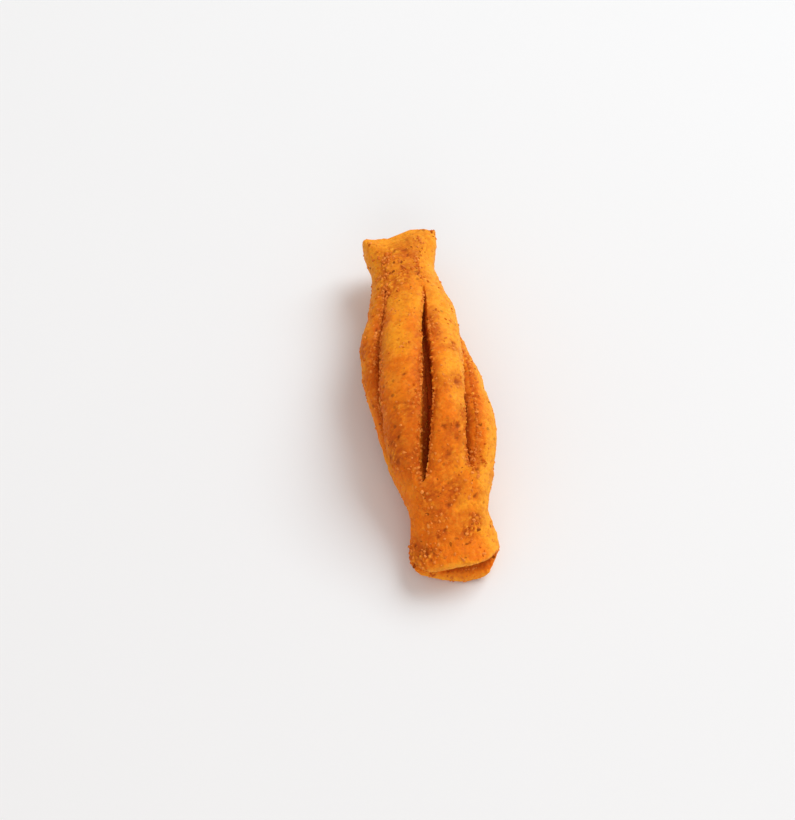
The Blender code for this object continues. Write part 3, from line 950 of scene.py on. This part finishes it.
class CrumbSettings(bpy.types.PropertyGroup):
    """Pale crumbs, mostly along the slits."""

    count: count_property("Count", "How many crumbs there are", 3400, 9000)
    smallest: length_property("Smallest", "Radius of the smallest crumb", 0.15 * MM)
    largest: length_property("Largest", "Radius of the largest crumb", 0.38 * MM)
    dark: colour_property("Darkest", "The darkest crumb", (0.66, 0.14, 0.006))
    light: colour_property("Lightest", "The palest crumb", (0.97, 0.36, 0.070))


class FleckSettings(bpy.types.PropertyGroup):
    """Dark flecks of spice in the skin."""

    count: count_property("Count", "How many flecks there are", 150, 4000)
    smallest: length_property("Smallest", "Radius of the smallest fleck", 0.16 * MM)
    largest: length_property("Largest", "Radius of the largest fleck", 0.42 * MM)
    dark: colour_property("Darkest", "The darkest fleck", (0.27, 0.062, 0.003))
    light: colour_property("Lightest", "The lightest fleck", (0.52, 0.13, 0.006))


class StageSettings(bpy.types.PropertyGroup):
    """The floor, the light and the camera."""

    floor: colour_property("Floor", "Colour of the floor", (0.818, 0.862, 0.874))
    sky: number_property("Sky", "Strength of the light from all round", 0.60, min=0)
    key_power: number_property("Key", "Power of the main lamp", 17.2, min=0, unit="POWER")
    fill_power: number_property("Fill", "Power of the front lamp", 3.4, min=0, unit="POWER")
    distance: length_property("Distance", "From the camera to the roll", 0.42)
    lens: number_property("Lens", "Focal length in millimetres", 91.5, min=20, max=300, unit="CAMERA")
    azimuth: number_property(
        "Azimuth", "The camera's way round the roll", math.radians(-8.6), subtype="ANGLE"
    )
    elevation: number_property(
        "Elevation", "The camera's height above the horizon", math.radians(62), subtype="ANGLE"
    )


# ---------------- Stage ----------------

FLOOR_HALF = 2.0
CAMERA_AIM = Vector((-0.0063, -0.0024, 0.0094))  # the point in the middle of the picture
LAMP_SIZE = 1.0
KEY_PLACE = Vector((0.85, 0.60, 1.10))
KEY_COLOUR = (0.94, 1.0, 1.04)
FILL_PLACE = Vector((-0.10, -1.20, 0.60))
FILL_COLOUR = (1.0, 0.88, 0.82)
SKY_COLOUR = (1.0, 0.86, 0.81, 1.0)
CAMERA_NEAR = 0.01  # what is nearer to the camera isn't shown


def make_floor(settings):
    mesh = bpy.data.meshes.new("floor")
    corners = [(x * FLOOR_HALF, y * FLOOR_HALF, 0) for x, y in ((-1, -1), (1, -1), (1, 1), (-1, 1))]
    mesh.from_pydata(corners, [], [(0, 1, 2, 3)])
    mesh.materials.append(floor_material(tuple(settings.floor)))
    show("floor", mesh)


def add_lamp(name, place, power, colour):
    """A large square lamp that shines on the roll."""
    data = bpy.data.lights.new(name, "AREA")
    data.energy = power
    data.size = LAMP_SIZE
    data.color = colour
    lamp = show(name, data)
    lamp.location = place
    lamp.rotation_mode = "QUATERNION"
    lamp.rotation_quaternion = (-place).to_track_quat("-Z", "Y")


def make_light(settings):
    add_lamp("key", KEY_PLACE, settings.key_power, KEY_COLOUR)
    add_lamp("fill", FILL_PLACE, settings.fill_power, FILL_COLOUR)
    world = bpy.data.worlds.new("studio")
    world.use_nodes = True
    sky = world.node_tree.nodes["Background"]
    sky.inputs["Color"].default_value = SKY_COLOUR
    sky.inputs["Strength"].default_value = settings.sky
    bpy.context.scene.world = world


def make_camera(settings):
    back = Vector((
        math.sin(settings.azimuth) * math.cos(settings.elevation),
        -math.cos(settings.azimuth) * math.cos(settings.elevation),
        math.sin(settings.elevation),
    ))
    lens = bpy.data.cameras.new("camera")
    lens.lens = settings.lens
    lens.clip_start = CAMERA_NEAR
    camera = show("camera", lens)
    camera.location = CAMERA_AIM + back * settings.distance
    camera.rotation_mode = "QUATERNION"
    camera.rotation_quaternion = (-back).to_track_quat("-Z", "Y")
    bpy.context.scene.camera = camera


# ---------------- Operators ----------------


class MATHRI_OT_dough_roll(bpy.types.Operator):
    """Makes the roll of dough with its fried skin"""

    bl_idname = "mathri.dough_roll"
    bl_label = "Dough roll"

    def execute(self, context):
        settings = context.scene.mathri_roll
        mesh = smooth_skin()
        drop_loose_points(mesh)
        roughen(mesh, settings)
        mesh.shade_smooth()
        mesh.materials.append(dough_material(settings))
        roll = show(ROLL, mesh)
        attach(roll, BODY)
        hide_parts(NODE)
        return {"FINISHED"}


class MATHRI_OT_pale_crumbs(bpy.types.Operator):
    """Scatters pale crumbs on the roll, mostly along its slits"""

    bl_idname = "mathri.pale_crumbs"
    bl_label = "Pale crumbs"

    def execute(self, context):
        settings = context.scene.mathri_crumbs
        skin = bpy.data.objects[ROLL].data
        points, normals = read_skin(skin)
        edge, inner, browned = read_values(skin, "edge", "inner", "browned")
        weights = CRUMBS_PLAIN + CRUMBS_EDGE * edge + CRUMBS_INSIDE * inner
        weights += CRUMBS_BROWNED * browned + CRUMBS_PATCHY * patchiness(points, *CRUMB_PATCHES)
        weights *= CRUMB_GAPS + (1 - CRUMB_GAPS) * patchiness(points, *CRUMB_CLUSTERS)
        weights *= face_up(normals)
        crumbs = scatter(CRUMBS, settings, weights, thickness=0.7, sink=0.5, seed=11)
        crumbs.data.materials.append(scrap_material("pale_crumbs", roughness=0.7))
        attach(crumbs, BODY)
        return {"FINISHED"}


class MATHRI_OT_spice_flecks(bpy.types.Operator):
    """Presses dark flecks of spice into the skin"""

    bl_idname = "mathri.spice_flecks"
    bl_label = "Spice flecks"

    def execute(self, context):
        settings = context.scene.mathri_flecks
        skin = bpy.data.objects[ROLL].data
        points, normals = read_skin(skin)
        edge, browned = read_values(skin, "edge", "browned")
        weights = FLECKS_PLAIN + FLECKS_BROWNED * browned + FLECKS_EDGE * edge
        weights += FLECKS_PATCHY * patchiness(points, *FLECK_PATCHES)
        weights *= face_up(normals)
        flecks = scatter(FLECKS, settings, weights, thickness=0.2, sink=0.6, seed=23)
        flecks.data.materials.append(scrap_material("spice_flecks", roughness=0.6))
        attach(flecks, BODY)
        return {"FINISHED"}


class MATHRI_OT_stage(bpy.types.Operator):
    """Sets up the pale floor, the soft light and the camera"""

    bl_idname = "mathri.stage"
    bl_label = "Stage"

    def execute(self, context):
        settings = context.scene.mathri_stage
        make_floor(settings)
        make_light(settings)
        make_camera(settings)
        context.scene.view_settings.view_transform = "Standard"
        return {"FINISHED"}


# ---------------- Panel and registration ----------------

GROUPS = (
    ("mathri_roll", RollSettings, MATHRI_OT_dough_roll),
    ("mathri_crumbs", CrumbSettings, MATHRI_OT_pale_crumbs),
    ("mathri_flecks", FleckSettings, MATHRI_OT_spice_flecks),
    ("mathri_stage", StageSettings, MATHRI_OT_stage),
)


class MATHRI_PT_panel(bpy.types.Panel):
    """The settings of each piece, with the button that makes it"""

    bl_idname = "MATHRI_PT_panel"
    bl_label = "Mathri"
    bl_space_type = "VIEW_3D"
    bl_region_type = "UI"
    bl_category = "Mathri"

    def draw(self, context):
        for name, group, maker in GROUPS:
            box = self.layout.box()
            for key in group.__annotations__:
                box.prop(getattr(context.scene, name), key)
            box.operator(maker.bl_idname)


def register():
    for name, group, maker in GROUPS:
        bpy.utils.register_class(group)
        bpy.utils.register_class(maker)
        setattr(bpy.types.Scene, name, PointerProperty(type=group))
    bpy.utils.register_class(MATHRI_PT_panel)


def unregister():
    bpy.utils.unregister_class(MATHRI_PT_panel)
    for name, group, maker in reversed(GROUPS):
        delattr(bpy.types.Scene, name)
        bpy.utils.unregister_class(maker)
        bpy.utils.unregister_class(group)


def main():
    register()
    bpy.ops.mathri.dough_roll()
    bpy.ops.mathri.pale_crumbs()
    bpy.ops.mathri.spice_flecks()
    bpy.ops.mathri.stage()


if __name__ == "__main__":
    main()
